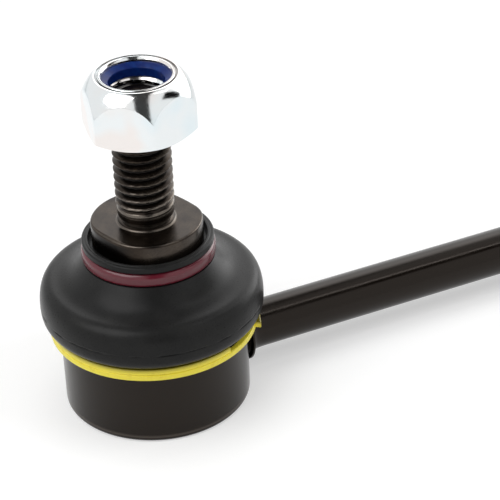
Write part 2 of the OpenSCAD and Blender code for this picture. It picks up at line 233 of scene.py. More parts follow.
class LinkColours(bpy.types.PropertyGroup):
    """Colours of the finishes."""
    coat: colour("Black coat", "Dipped paint on rod and housings", "#0f0b08")
    coat_dust: colour("Coat dust", "Paler specks in the paint", "#211b16")
    # Painted highlight: a paler line just above the housings' rounded foot
    coat_foot_highlight: colour("Worn coat", "Thin paint on the housings' lower edge", "#4c4641")
    coat_sheen: colour("Coat sheen", "Warm cast of the paint's reflections", "#fff0e4")
    phosphate: colour("Phosphate", "Oiled phosphate on the studs", "#3a322a")
    phosphate_dark: colour("Phosphate pores", "Darker grain of the phosphate", "#1a1411")
    # Painted highlights on the studs' crests, edge, fillet and relief, and a slightly paler collar side
    phosphate_highlight: colour("Worn phosphate", "Rubbed crests and edges of the studs", "#8a8279")
    # Oil and painted shade in thread roots and the nut's seam and bore; it also darkens the collar's flats
    oil_and_shade: colour("Oil", "Old oil in roots and seams", "#14110f")
    rubber: colour("Rubber", "Boots", "#1b1b1b")
    rubber_bloom: colour("Rubber bloom", "Paler bloom on the boots", "#272726")
    yellow: colour("Yellow coat", "Clamp rings", "#fdec44")
    yellow_worn: colour("Worn yellow", "Thinner places of the clamp rings' coat", "#e6cf28")
    # Painted shade: olive on the top of the upper clamp turn, under the boot's overhang
    yellow_painted_shade: colour("Dusty yellow", "Olive dust on the clamp rings under the boot", "#8a7d12")
    wine: colour("Wine coat", "Neck rings", "#5e1524")
    wine_worn: colour("Worn wine", "Paler scuffs on the neck rings", "#7a3340")
    zinc: colour("Zinc", "Plating on the nuts", "#e4e8e9")
    zinc_blue: colour("Zinc blue", "Bluish cast in the plating", "#dbe6ea")
    zinc_rose: colour("Zinc rose", "Rosy cast in the plating", "#e7e2df")
    nylon: colour("Nylon", "Inserts", "#071f5c")
    nylon_pale: colour("Pale nylon", "Rubbed places of the inserts", "#103a7c")
    steel: colour("Steel", "Closing covers", "#8f8d89")
    acetal: colour("Acetal", "Ball seats", "#e6e2d8")
    floor: colour("Floor", "Studio floor", "#d2d2d2")


class LinkStudioSizes(bpy.types.PropertyGroup):
    """Camera and lights."""
    camera_turn: turn("Camera direction", "Direction of the camera round the link", -24.42)
    camera_height: turn("Camera elevation", "Angle of the camera above the floor", 31.93)
    camera_roll: turn("Camera roll", "How far the picture leans", -2.42)
    camera_lens: number("Lens", "Focal length in millimetres", 151.85)
    camera_reach: length("Camera reach", "Depth of the front stud's foot in the picture", 368.3 * MM)
    foot_px_x: number("Foot across", "Pixel of the front stud's foot, from the left", 158.6)
    foot_px_y: number("Foot down", "Pixel of the front stud's foot, from the top", 386.4)
    key_power: wattage("Key light", "Power of the main softbox", 3.0)
    back_power: wattage("Back light", "Power of the back softbox", 1.6)
    fill_power: wattage("Fill light", "Power of the fill softbox", 1.3)
    strip_power: wattage("Strip light", "Power of the strip over the rod", 0.16)
    ambient: number("Ambient", "Strength of the even light of the room", 0.42)
    floor_glow: number("Floor glow", "Strength of the glow that shows the floor white", 0.41)


def sizes(group):
    """A group of sizes or colours of this scene."""
    return getattr(bpy.context.scene, "link_" + group)


# Outlines, as rows of (radius, height) points

def unit(vector):
    """A vector's direction."""
    return vector / np.linalg.norm(vector)


def rounded(corners, steps=6):
    """Closed outline through (radius, height, fillet) corners, each fillet an arc between two points."""
    support_share = 0.35
    points = []
    for i, (across, up, fillet) in enumerate(corners):
        here = np.array((across, up))
        if not fillet:
            points.append(here)
            continue
        back = unit(np.array(corners[i - 1][:2]) - here)
        ahead = unit(np.array(corners[(i + 1) % len(corners)][:2]) - here)
        half = math.acos(float(np.clip(back @ ahead, -1, 1))) / 2
        reach = fillet / math.tan(half)
        centre = here + unit(back + ahead) * fillet / math.sin(half)
        first, last = here + back * reach - centre, here + ahead * reach - centre
        start = math.atan2(first[1], first[0])
        sweep = (math.atan2(last[1], last[0]) - start + math.pi) % FULL_TURN - math.pi
        points.append(here + back * (reach + support_share * fillet))
        for k in range(steps + 1):
            angle = start + sweep * k / steps
            points.append(centre + fillet * np.array((math.cos(angle), math.sin(angle))))
        points.append(here + ahead * (reach + support_share * fillet))
    return np.array(points)


def bend(start, pull_a, pull_b, end, steps):
    """Points of a smooth curve between two points with given pulls, the last point left out."""
    t = (np.arange(steps) / steps)[:, None]
    start, pull_a, pull_b, end = (np.array(p) for p in (start, pull_a, pull_b, end))
    return (1 - t) ** 3 * start + 3 * t * (1 - t) ** 2 * pull_a + 3 * t * t * (1 - t) * pull_b + t ** 3 * end


def arc(centre, radius, start, end, steps):
    """Points of an arc between two directions in degrees, both ends included."""
    angles = np.radians(np.linspace(start, end, steps + 1))
    return np.array(centre) + radius * np.stack([np.cos(angles), np.sin(angles)], axis=1)


def polar(distance, degrees):
    """A step of a given distance in a given direction."""
    return distance * np.array((math.cos(math.radians(degrees)), math.sin(math.radians(degrees))))


def moved_left(points, distance):
    """A row of points moved to its left."""
    step = np.gradient(points, axis=0)
    step /= np.linalg.norm(step, axis=1)[:, None]
    return points + distance * np.stack([-step[:, 1], step[:, 0]], axis=1)


# Meshes, as stacks of rings of points

def even_angles(columns=COLUMNS, start=0.0):
    """Directions spread evenly round an axis."""
    return start + FULL_TURN * np.arange(columns) / columns


def rings_at(across, up, angles):
    """Rings of points from radii and heights, given for each row or for each row and direction."""
    across, up = np.broadcast_arrays(across, up)
    if across.ndim == 1:
        across, up = (np.repeat(a[:, None], len(angles), axis=1) for a in (across, up))
    return np.stack([across * np.cos(angles), across * np.sin(angles), up], axis=-1)


def revolve(outline, columns=COLUMNS):
    """Rings of points where an outline turns round the joint's axis."""
    return rings_at(outline[:, 0], outline[:, 1], even_angles(columns))


def along_rod(rings):
    """Rings turned from the joint's axis to the rod's."""
    return np.stack([rings[..., 2], rings[..., 1], ROD_Z - rings[..., 0]], axis=-1)


def at_end(points, end):
    """Points of a joint built round its own axis, moved to one end of the link."""
    facing = ENDS[end]
    return points * (facing, facing, 1) + np.array((axis_x(end), 0, 0))


def skin(rings, wrap=True):
    """Vertices and faces over a stack of rings, wrapped into a loop or shut by a fan at each end."""
    rows, columns = rings.shape[:2]
    vertices = rings.reshape(-1, 3)
    row = np.arange(rows if wrap else rows - 1)[:, None] * columns
    above = (row + columns) % (rows * columns)
    column = np.arange(columns)[None, :]
    after = (column + 1) % columns
    quads = np.stack([row + column, row + after, above + after, above + column], axis=-1)
    faces = quads.reshape(-1, 4).tolist()
    if not wrap:
        low, high = len(vertices), len(vertices) + 1
        last_row = (rows - 1) * columns
        vertices = np.concatenate([vertices, rings[[0, -1]].mean(axis=1)])
        for i in range(columns):
            j = (i + 1) % columns
            faces.append((low, j, i))
            faces.append((high, last_row + i, last_row + j))
    return vertices, faces


def piece(name, rings, material, wrap=True, grime=0.0):
    """A smooth object over a stack of rings, with crisp edges and the grime and painted light of its points.

    Up to 1 a point is darkened by oil, dust and painted shade, and below 0 it is lightened, mostly as a painted
    highlight.
    """
    vertices, faces = skin(rings, wrap)
    mesh = bpy.data.meshes.new(name)
    mesh.from_pydata(vertices.tolist(), [], faces)
    work = bmesh.new()
    work.from_mesh(mesh)
    bmesh.ops.recalc_face_normals(work, faces=work.faces)
    work.to_mesh(mesh)
    work.free()
    mesh.shade_smooth()
    mesh.set_sharp_from_angle(angle=CREASE)
    marks = np.zeros(len(vertices))
    marks[:rings.shape[0] * rings.shape[1]] = np.broadcast_to(grime, rings.shape[:2]).ravel()
    mesh.attributes.new("grime", "FLOAT", "POINT").data.foreach_set("value", marks)
    mesh.materials.append(material)
    obj = bpy.data.objects.new(name, mesh)
    bpy.context.scene.collection.objects.link(obj)
    return obj


def stands_for(node):
    """Show a piece in place of a node, by hiding the node."""
    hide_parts(node)


def carry(obj, body, node):
    """Let a piece move with a body, and show it in place of a node."""
    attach(obj, body)
    stands_for(node)


# Materials

def add(tree, kind, inputs=None, **settings):
    """Add a node with its settings, and feed its inputs with values, sockets or nodes' main outputs."""
    node = tree.nodes.new(kind)
    for name, value in settings.items():
        setattr(node, name, value)
    for name, value in (inputs or {}).items():
        if isinstance(value, bpy.types.Node):
            value = next(socket for socket in value.outputs if socket.enabled)
        if isinstance(value, bpy.types.NodeSocket):
            tree.links.new(value, node.inputs[name])
        else:
            node.inputs[name].default_value = value
    return node


def per(size_mm):
    """Scale of a pattern whose marks are a given number of millimetres across."""
    return 1 / (size_mm * MM)


def new_material(name):
    """An empty material, its node tree and the place of a point on its piece."""
    material = bpy.data.materials.new(name)
    material.use_nodes = True
    tree = material.node_tree
    tree.nodes.clear()
    place = add(tree, "ShaderNodeTexCoord").outputs["Object"]
    return material, tree, place


def shade(tree, inputs):
    """Close a material with the main shader."""
    shader = add(tree, "ShaderNodeBsdfPrincipled", inputs)
    add(tree, "ShaderNodeOutputMaterial", {"Surface": shader})


def satin_black_paint():
    """Dipped black paint on steel: near-black with a brown cast, a satin sheen and a faint orange peel."""
    c = sizes("colours")
    material, tree, place = new_material("satin_black_paint")
    speck = add(tree, "ShaderNodeTexNoise", {
        "Vector": place, "Scale": per(0.35), "Detail": 4.0, "Roughness": 0.7})
    dust = add(tree, "ShaderNodeMapRange", {
        "Value": speck, "From Min": 0.58, "From Max": 0.8, "To Max": 0.8})
    tone = add(tree, "ShaderNodeMix", {
        MIX_FACTOR: dust, MIX_A: c.coat, MIX_B: c.coat_dust}, data_type="RGBA")
    grime = add(tree, "ShaderNodeAttribute", attribute_name="grime").outputs["Fac"]
    # Painted highlight: the paint turns paler along the housings' foot line
    tone = add(tree, "ShaderNodeMix", {
        MIX_FACTOR: grime, MIX_A: tone, MIX_B: c.coat_foot_highlight}, data_type="RGBA")
    cloud = add(tree, "ShaderNodeTexNoise", {"Vector": place, "Scale": per(6), "Detail": 3.0})
    gloss = add(tree, "ShaderNodeMapRange", {
        "Value": cloud, "From Min": 0.3, "From Max": 0.7, "To Min": 0.13, "To Max": 0.22})
    peel = add(tree, "ShaderNodeTexNoise", {"Vector": place, "Scale": per(1.1), "Detail": 2.0})
    bump = add(tree, "ShaderNodeBump", {"Height": peel, "Strength": 0.35, "Distance": 0.02 * MM})
    shade(tree, {
        "Base Color": tone, "Roughness": gloss, "IOR": 1.5, "Specular IOR Level": 0.26,
        "Specular Tint": c.coat_sheen, "Normal": bump})
    return material


def oiled_phosphate():
    """Oiled phosphate on forged steel: brown-black, fine-grained, with a dull sheen and painted highlights on
    edges and crests.
    """
    c = sizes("colours")
    material, tree, place = new_material("oiled_phosphate")
    grain = add(tree, "ShaderNodeTexNoise", {
        "Vector": place, "Scale": per(0.22), "Detail": 5.0, "Roughness": 0.65})
    stain = add(tree, "ShaderNodeTexNoise", {"Vector": place, "Scale": per(3.5), "Detail": 3.0})
    both = add(tree, "ShaderNodeMath", {0: grain, 1: stain}, operation="MULTIPLY")
    share = add(tree, "ShaderNodeMapRange", {"Value": both, "From Min": 0.12, "From Max": 0.36})
    tone = add(tree, "ShaderNodeMix", {
        MIX_FACTOR: share, MIX_A: c.phosphate_dark, MIX_B: c.phosphate}, data_type="RGBA")
    grime = add(tree, "ShaderNodeAttribute", attribute_name="grime").outputs["Fac"]
    tone = add(tree, "ShaderNodeMix", {MIX_FACTOR: grime, MIX_A: tone, MIX_B: c.oil_and_shade}, data_type="RGBA")
    # Below zero, grime lightens towards painted highlights on crests, edges, fillet and relief
    lightened = add(tree, "ShaderNodeMath", {0: grime, 1: -1.0}, operation="MULTIPLY")
    lightened = add(tree, "ShaderNodeMath", {0: lightened, 1: grain}, operation="MULTIPLY", use_clamp=True)
    tone = add(tree, "ShaderNodeMix", {
        MIX_FACTOR: lightened, MIX_A: tone, MIX_B: c.phosphate_highlight}, data_type="RGBA")
    gloss = add(tree, "ShaderNodeMapRange", {
        "Value": stain, "From Min": 0.3, "From Max": 0.7, "To Min": 0.16, "To Max": 0.28})
    bump = add(tree, "ShaderNodeBump", {"Height": grain, "Strength": 0.5, "Distance": 0.015 * MM})
    shade(tree, {"Base Color": tone, "Metallic": 0.85, "Roughness": gloss, "Normal": bump})
    return material


def moulded_rubber():
    """Moulded chloroprene rubber: matte dark grey with a pale bloom, fine mould grain and a soft sheen."""
    c = sizes("colours")
    material, tree, place = new_material("moulded_rubber")
    cloud = add(tree, "ShaderNodeTexNoise", {
        "Vector": place, "Scale": per(5), "Detail": 4.0, "Roughness": 0.6})
    bloom = add(tree, "ShaderNodeMapRange", {
        "Value": cloud, "From Min": 0.35, "From Max": 0.75, "To Max": 0.7})
    tone = add(tree, "ShaderNodeMix", {
        MIX_FACTOR: bloom, MIX_A: c.rubber, MIX_B: c.rubber_bloom}, data_type="RGBA")
    grain = add(tree, "ShaderNodeTexNoise", {
        "Vector": place, "Scale": per(0.3), "Detail": 4.0, "Roughness": 0.7})
    gloss = add(tree, "ShaderNodeMapRange", {
        "Value": grain, "From Min": 0.3, "From Max": 0.7, "To Min": 0.25, "To Max": 0.36})
    bump = add(tree, "ShaderNodeBump", {"Height": grain, "Strength": 0.55, "Distance": 0.03 * MM})
    shade(tree, {
        "Base Color": tone, "Roughness": gloss, "IOR": 1.5, "Specular IOR Level": 0.13, "Normal": bump})
    return material


def yellow_coated_wire():
    """Spring wire with a smooth yellow coat: bright, a little glossy, thinner and more ochre in streaks, with
    painted shade on top of the upper turn.
    """
    c = sizes("colours")
    material, tree, place = new_material("yellow_coated_wire")
    streak = add(tree, "ShaderNodeTexNoise", {
        "Vector": place, "Scale": per(1.4), "Detail": 4.0, "Roughness": 0.6})
    worn = add(tree, "ShaderNodeMapRange", {
        "Value": streak, "From Min": 0.55, "From Max": 0.8, "To Max": 0.6})
    tone = add(tree, "ShaderNodeMix", {
        MIX_FACTOR: worn, MIX_A: c.yellow, MIX_B: c.yellow_worn}, data_type="RGBA")
    # Painted shade: the upper turn's top turns olive
    grime = add(tree, "ShaderNodeAttribute", attribute_name="grime").outputs["Fac"]
    tone = add(tree, "ShaderNodeMix", {
        MIX_FACTOR: grime, MIX_A: tone, MIX_B: c.yellow_painted_shade}, data_type="RGBA")
    ripple = add(tree, "ShaderNodeTexNoise", {"Vector": place, "Scale": per(0.6), "Detail": 2.0})
    bump = add(tree, "ShaderNodeBump", {"Height": ripple, "Strength": 0.3, "Distance": 0.03 * MM})
    shade(tree, {"Base Color": tone, "Roughness": 0.34, "IOR": 1.52, "Normal": bump})
    return material


def wine_coated_band():
    """Wine-red lacquer on a spring band: deep red, glossy, with paler scuffs."""
    c = sizes("colours")
    material, tree, place = new_material("wine_coated_band")
    scuff = add(tree, "ShaderNodeTexNoise", {
        "Vector": place, "Scale": per(0.9), "Detail": 5.0, "Roughness": 0.7})
    worn = add(tree, "ShaderNodeMapRange", {
        "Value": scuff, "From Min": 0.58, "From Max": 0.85, "To Max": 0.5})
    tone = add(tree, "ShaderNodeMix", {
        MIX_FACTOR: worn, MIX_A: c.wine, MIX_B: c.wine_worn}, data_type="RGBA")
    gloss = add(tree, "ShaderNodeMapRange", {
        "Value": scuff, "From Min": 0.3, "From Max": 0.8, "To Min": 0.16, "To Max": 0.26})
    bump = add(tree, "ShaderNodeBump", {"Height": scuff, "Strength": 0.3, "Distance": 0.03 * MM})
    shade(tree, {"Base Color": tone, "Roughness": gloss, "IOR": 1.5, "Normal": bump})
    return material


def bright_zinc():
    """Bright zinc plate on a turned nut: silvery white, faintly blue and rosy, glossy, with an oily seam in
    painted shade.
    """
    c = sizes("colours")
    material, tree, place = new_material("bright_zinc")
    cast = add(tree, "ShaderNodeTexNoise", {"Vector": place, "Scale": per(11), "Detail": 2.0})
    blue = add(tree, "ShaderNodeMapRange", {"Value": cast, "From Min": 0.5, "From Max": 0.62})
    rose = add(tree, "ShaderNodeMapRange", {"Value": cast, "From Min": 0.46, "From Max": 0.36})
    bluish = add(tree, "ShaderNodeMix", {
        MIX_FACTOR: blue, MIX_A: c.zinc, MIX_B: c.zinc_blue}, data_type="RGBA")
    tone = add(tree, "ShaderNodeMix", {
        MIX_FACTOR: rose, MIX_A: bluish, MIX_B: c.zinc_rose}, data_type="RGBA")
    # Painted shade: the seam and the bore darken towards oil
    grime = add(tree, "ShaderNodeAttribute", attribute_name="grime").outputs["Fac"]
    tone = add(tree, "ShaderNodeMix", {MIX_FACTOR: grime, MIX_A: tone, MIX_B: c.oil_and_shade}, data_type="RGBA")
    ripple = add(tree, "ShaderNodeTexNoise", {
        "Vector": place, "Scale": per(0.5), "Detail": 5.0, "Roughness": 0.7})
    gloss = add(tree, "ShaderNodeMapRange", {
        "Value": ripple, "From Min": 0.3, "From Max": 0.7, "To Min": 0.06, "To Max": 0.15})
    bump = add(tree, "ShaderNodeBump", {"Height": ripple, "Strength": 0.4, "Distance": 0.02 * MM})
    shade(tree, {"Base Color": tone, "Metallic": 1.0, "Roughness": gloss, "Normal": bump})
    return material


def blue_nylon():
    """Moulded nylon: deep blue, slightly waxy, paler where it has been rubbed."""
    c = sizes("colours")
    material, tree, place = new_material("blue_nylon")
    rub = add(tree, "ShaderNodeTexNoise", {"Vector": place, "Scale": per(1.2), "Detail": 4.0})
    pale = add(tree, "ShaderNodeMapRange", {
        "Value": rub, "From Min": 0.45, "From Max": 0.75, "To Max": 0.6})
    tone = add(tree, "ShaderNodeMix", {
        MIX_FACTOR: pale, MIX_A: c.nylon, MIX_B: c.nylon_pale}, data_type="RGBA")
    bump = add(tree, "ShaderNodeBump", {"Height": rub, "Strength": 0.2, "Distance": 0.03 * MM})
    shade(tree, {
        "Base Color": tone, "Roughness": 0.3, "IOR": 1.53, "Specular IOR Level": 0.15, "Normal": bump})
    return material


def pressed_steel():
    """Pressed sheet steel: grey metal with a fine drawn grain and a dull sheen."""
    c = sizes("colours")
    material, tree, place = new_material("pressed_steel")
    grain = add(tree, "ShaderNodeTexNoise", {
        "Vector": place, "Scale": per(0.4), "Detail": 5.0, "Roughness": 0.7})
    gloss = add(tree, "ShaderNodeMapRange", {
        "Value": grain, "From Min": 0.3, "From Max": 0.7, "To Min": 0.28, "To Max": 0.46})
    bump = add(tree, "ShaderNodeBump", {"Height": grain, "Strength": 0.3, "Distance": 0.02 * MM})
    shade(tree, {"Base Color": c.steel, "Metallic": 1.0, "Roughness": gloss, "Normal": bump})
    return material


def white_acetal():
    """Moulded acetal: milky white, smooth and slippery-looking."""
    c = sizes("colours")
    material, tree, place = new_material("white_acetal")
    cloud = add(tree, "ShaderNodeTexNoise", {"Vector": place, "Scale": per(3), "Detail": 2.0})
    gloss = add(tree, "ShaderNodeMapRange", {"Value": cloud, "To Min": 0.26, "To Max": 0.4})
    shade(tree, {"Base Color": c.acetal, "Roughness": gloss, "IOR": 1.48})
    return material


def matt_white_floor():
    """Matt white paper: it keeps a soft shadow, and glows just enough for the eye to see it white."""
    material, tree, _ = new_material("matt_white_floor")
    rays = add(tree, "ShaderNodeLightPath").outputs
    seen = add(tree, "ShaderNodeMath", {
        0: rays["Is Camera Ray"], 1: rays["Is Glossy Ray"]}, operation="MAXIMUM")
    seen = add(tree, "ShaderNodeMath", {0: seen, 1: rays["Is Transmission Ray"]}, operation="MAXIMUM")
    glow = add(tree, "ShaderNodeMath", {0: seen, 1: sizes("studio").floor_glow}, operation="MULTIPLY")
    paper = add(tree, "ShaderNodeBsdfDiffuse", {"Color": sizes("colours").floor})
    light = add(tree, "ShaderNodeEmission", {"Strength": glow})
    both = add(tree, "ShaderNodeAddShader", {0: paper, 1: light})
    add(tree, "ShaderNodeOutputMaterial", {"Surface": both})
    return material


def matt_black_card():
    """Matt black card: it gives nothing back to the eye."""
    material, tree, _ = new_material("matt_black_card")
    card = add(tree, "ShaderNodeBsdfDiffuse", {"Color": (0, 0, 0, 1)})
    add(tree, "ShaderNodeOutputMaterial", {"Surface": card})
    return material


# Shapes of the pieces

def clean(outline):
    """Rows of an outline that has nothing on it."""
    return [(across, up, 0.0) for across, up in outline]


def stacked(rows, angles):
    """Rings and their grime and painted light from rows of (radius, height, grime and painted light), each a
    number or one per direction.
    """
    across, up, grime = (
        np.stack([np.broadcast_to(value, len(angles)) for value in column]) for column in zip(*rows))
    return rings_at(across, up, angles), grime


def rod_rings():
    """The rod, run a little way into both housings."""
    s = sizes("body")
    sunk = 1.2 * MM
    reach = axis_x("rear") - s.housing_r + sunk
    stations = np.linspace(-reach, reach, 60)
    return along_rod(rings_at(np.full(len(stations), s.rod_r), stations, even_angles(PLAIN_COLUMNS)))


def weld_outline():
    """Flange of the weld: flat towards the housing, hollow towards the rod; heights run along the rod."""
    s = sizes("body")
    gap = 0.02 * MM
    back = s.housing_r + gap
    core_r, core_back = s.rod_r - 0.3 * MM, back - 1.2 * MM
    step_r = s.weld_r - 0.9 * MM
    rim_t, rim_soft = 0.4 * MM, 0.18 * MM
    rim = (s.weld_r, back + rim_t)
    toe = (s.rod_r + gap, s.housing_r + s.weld_len)
    pull = 0.62
    rim_pull = (rim[0] - pull * (rim[0] - toe[0]), rim[1])
    toe_pull = (toe[0], toe[1] - pull * s.weld_len)
    face = bend(rim, rim_pull, toe_pull, toe, steps=14)
    edge = rounded([
        (core_r, core_back, 0), (step_r, back, 0), (s.weld_r, back, rim_soft),
        (s.weld_r, back + rim_t, 0), (core_r, back + rim_t, 0)])[:-2]
    return np.concatenate([edge, face, [toe, (core_r, toe[1])]])


def housing_outline():
    """Turned housing: rounded foot, plain side, groove for the boot, land, mouth, cavity and rolled rim."""
    s = sizes("body")
    groove_low = CLAMP_LOW - 0.1 * MM
    groove_top = HOUSING_TOP - s.land_h
    groove_r = s.housing_r - s.groove_depth
    land_r = s.housing_r - s.land_in
    rim_lap = 0.9 * MM
    cover_r = s.cavity_r + rim_lap
    rim_r = cover_r - rim_lap
    rim_t = COVER_LOW - 0.02 * MM
    seat_z = COVER_TOP + 0.03 * MM
    throat_z = BALL_Z + 2.95 * MM
    throat_r = 7.9 * MM
    mouth_r = 8.6 * MM
    taper = 2.9 * MM
    edge, rim_soft, groove_soft, land_soft = 0.22 * MM, 0.15 * MM, 0.1 * MM, 0.12 * MM
    return rounded([
        (rim_r, 0, rim_soft), (s.housing_r, 0, s.housing_edge), (s.housing_r, 2 * s.housing_edge, 0),
        (s.housing_r, groove_low, edge), (groove_r, groove_low, groove_soft),
        (groove_r, groove_top, groove_soft), (land_r, groove_top, land_soft),
        (land_r, HOUSING_TOP, edge), (mouth_r, HOUSING_TOP, edge), (throat_r, throat_z, 0),
        (s.cavity_r - taper, throat_z, 0), (s.cavity_r, BALL_Z, 0), (s.cavity_r, seat_z, 0),
        (cover_r, seat_z, 0), (cover_r, rim_t, 0), (rim_r, rim_t, rim_soft)])


def foot_highlight(outline):
    """A painted highlight line, just above the housing's rounded foot."""
    s = sizes("body")
    highlight_z, spread = 1.35 * s.housing_edge, 0.16 * MM
    painted_highlight = np.exp(-((outline[:, 1] - highlight_z) / spread) ** 2)
    painted_highlight[outline[:, 0] < s.housing_r - s.housing_edge] = 0
    return painted_highlight[:, None]


def cover_outline():
    """Pressed closing disc with a shallow dish, from its middle round to its middle."""
    s = sizes("body")
    middle = 0.2 * MM
    edge_r = s.cavity_r + 0.85 * MM
    dish = 0.5 * MM
    dish_soft, edge_soft = 0.3 * MM, 0.2 * MM
    return rounded([
        (middle, COVER_LOW + dish, 0), (s.dish_r - dish, COVER_LOW + dish, dish_soft),
        (s.dish_r, COVER_LOW, dish_soft), (edge_r, COVER_LOW, edge_soft), (edge_r, COVER_TOP, edge_soft),
        (middle, COVER_TOP, 0)])


def thread_dip(angles, heights):
    """How far the thread lies below its crests: flat crests, straight flanks and flat roots."""
    s = sizes("stud")
    crest_half, root_half = 0.06, 0.09
    turns = (heights - s.thread_start) / s.thread_pitch - angles / FULL_TURN
    off_crest = np.abs(turns - np.round(turns))
    share = np.clip((off_crest - crest_half) / (0.5 - crest_half - root_half), 0, 1)
    return s.thread_depth * share


def collar_limit(angles):
    """Radius of the collar in each direction, cut back at its two spanner flats, whose ends are soft."""
    s = sizes("stud")
    crispness, least_facing = 16, 0.01
    facing = np.abs(np.cos(angles - s.flats_turn))
    flat_r = s.flats / 2 / np.maximum(facing, least_facing)
    return (s.collar_r ** -crispness + flat_r ** -crispness) ** (-1 / crispness)


def stud_foot():
    """Rows of the ball, the neck, the cone above it and the cylinder that the boot seals on."""
    s = sizes("stud")
    middle = 0.2 * MM
    neck_h = 8.2 * MM
    cone_r, cone_h = 5.7 * MM, 1.6 * MM
    seal_h = 3.4 * MM
    collar_low = COLLAR_TOP - s.collar_t
    seal_low = collar_low - seal_h
    flat_r = math.sqrt(s.ball_r ** 2 - (BALL_Z - STUD_LOW) ** 2)
    foot_angle = math.atan2(STUD_LOW - BALL_Z, flat_r)
    neck_angle = math.acos(s.neck_r / s.ball_r)
    ball = np.linspace(foot_angle, neck_angle, 40)
    return clean(np.concatenate([
        [(middle, STUD_LOW)],
        np.stack([s.ball_r * np.cos(ball), BALL_Z + s.ball_r * np.sin(ball)], axis=1),
        [(s.neck_r, BALL_Z + neck_h), (cone_r, seal_low - cone_h)],
        [(s.seal_r, seal_low), (s.seal_r, collar_low)]]))


def stud_collar(angles):
    """Rows of the collar, from its foot up and in to the shank, with darker flats, a paler round side and a
    painted highlight along its edge.
    """
    s = sizes("stud")
    low, foot = COLLAR_TOP - s.collar_t, 0.15 * MM
    limit = collar_limit(angles)
    # The edge rolls over further where a flat is cut
    cut = np.clip((s.collar_r - limit) / (s.collar_r - s.flats / 2), 0, 1)
    edge = s.collar_edge + (s.flat_edge - s.collar_edge) * cut
    # The flats are painted darker, the round side a little paler, and the middle of the edge's roll gets a painted
    # highlight
    side_pale, edge_highlight = 0.2, 0.4
    flat_dark = np.sqrt(cut) - side_pale * (1 - cut)
    rows = [(limit - foot, low, flat_dark)]
    side_top = COLLAR_TOP - edge
    for share in (0, 0.5, 0.97):
        rows.append((limit, low + foot + (side_top - low - foot) * share, flat_dark))
    for degrees in np.linspace(0, 90, 9):
        roll = math.radians(degrees)
        lightened = -edge_highlight if 30 < degrees < 60 else 0.0
        rows.append((limit - edge * (1 - math.cos(roll)), COLLAR_TOP - edge * (1 - math.sin(roll)), lightened))
    foot_r = SHANK_R + s.shank_fillet
    for share in (0.04, 0.3, 0.6, 0.85):
        rows.append(((limit - edge) * (1 - share) + foot_r * share, COLLAR_TOP, 0.0))
    return rows


def stud_shank():
    """Rows of the shank: fillet and shallow relief, both with painted highlights, and the barrel below the thread.
    """
    s = sizes("stud")
    fillet = arc((SHANK_R + s.shank_fillet, COLLAR_TOP + s.shank_fillet), s.shank_fillet, -90, -180, steps=6)
    # Painted highlights on the fillet and the relief, in place of their glints
    fillet_highlight = (0, -0.6, -0.6, -0.6, -0.6, 0, 0)
    relief_r = SHANK_R - s.relief
    barrel = np.array([
        (relief_r, 0.6 * MM), (relief_r, 1.0 * MM), (SHANK_R - 0.14 * MM, 1.2 * MM),
        (SHANK_R - 0.05 * MM, 1.4 * MM), (SHANK_R, 1.75 * MM), (SHANK_R - 0.02 * MM, 2.1 * MM)])
    barrel_highlight = (-0.5, -0.5, -0.5, 0, 0, 0)
    outline = np.concatenate([fillet, barrel + (0, COLLAR_TOP)])
    return [(across, up, painted_highlight) for (across, up), painted_highlight in zip(outline, fillet_highlight + barrel_highlight)]


def stud_thread(angles):
    """Rows of the thread, run out into the shank below and cut by the chamfer above.

    Painted shade darkens the roots, and painted highlights brighten the crests towards the shank.
    """
    s = sizes("stud")
    low = COLLAR_TOP + s.shank_h
    start, top = low - 0.7 * MM, STUD_TIP - 0.01 * MM
    dip_start, dip_run = 0.5 * MM, 1.4 * s.thread_pitch
    rise_start, rise_run = 0.6 * MM, 1.2 * MM
    highlight_run, highlight_dip, highlight_most = 8 * MM, 0.3, 0.9
    heights = np.linspace(start, top, int((STUD_TIP - low) / s.thread_pitch * THREAD_ROWS))[:, None]
    dip = np.clip((heights - low + dip_start) / dip_run, 0, 1) * thread_dip(angles[None, :], heights)
    crest = SHANK_R + (s.thread_r - SHANK_R) * np.clip((heights - low + rise_start) / rise_run, 0, 1)
    bevel = s.thread_r - s.tip_bevel + (STUD_TIP - heights)
    # Painted highlights on the crests, strongest near the shank, and painted shade in the roots
    crest_highlight = np.clip(1 - (heights - low) / highlight_run, 0, 1)
    sunk = dip / s.thread_depth
    grime = np.where(sunk < highlight_dip * crest_highlight, -highlight_most * crest_highlight, sunk ** 2)
    return list(zip(np.minimum(crest - dip, bevel), heights, grime))


def stud_end():
    """Rows of the end face, slightly dished."""
    s = sizes("stud")
    end_r = s.thread_r - s.tip_bevel
    rim_r, dish_r, middle = end_r * 0.92, end_r * 0.6, 0.3 * MM
    dish, deepest = 0.25 * MM, 0.4 * MM
    return clean([(rim_r, STUD_TIP), (dish_r, STUD_TIP - dish), (middle, STUD_TIP - deepest)])


def stud_rings():
    """Ball, neck, boot seat, flatted collar, shank with its relief, rolled thread and end face."""
    angles = even_angles()
    rows = stud_foot() + stud_collar(angles) + stud_shank() + stud_thread(angles) + stud_end()
    return stacked(rows, angles)


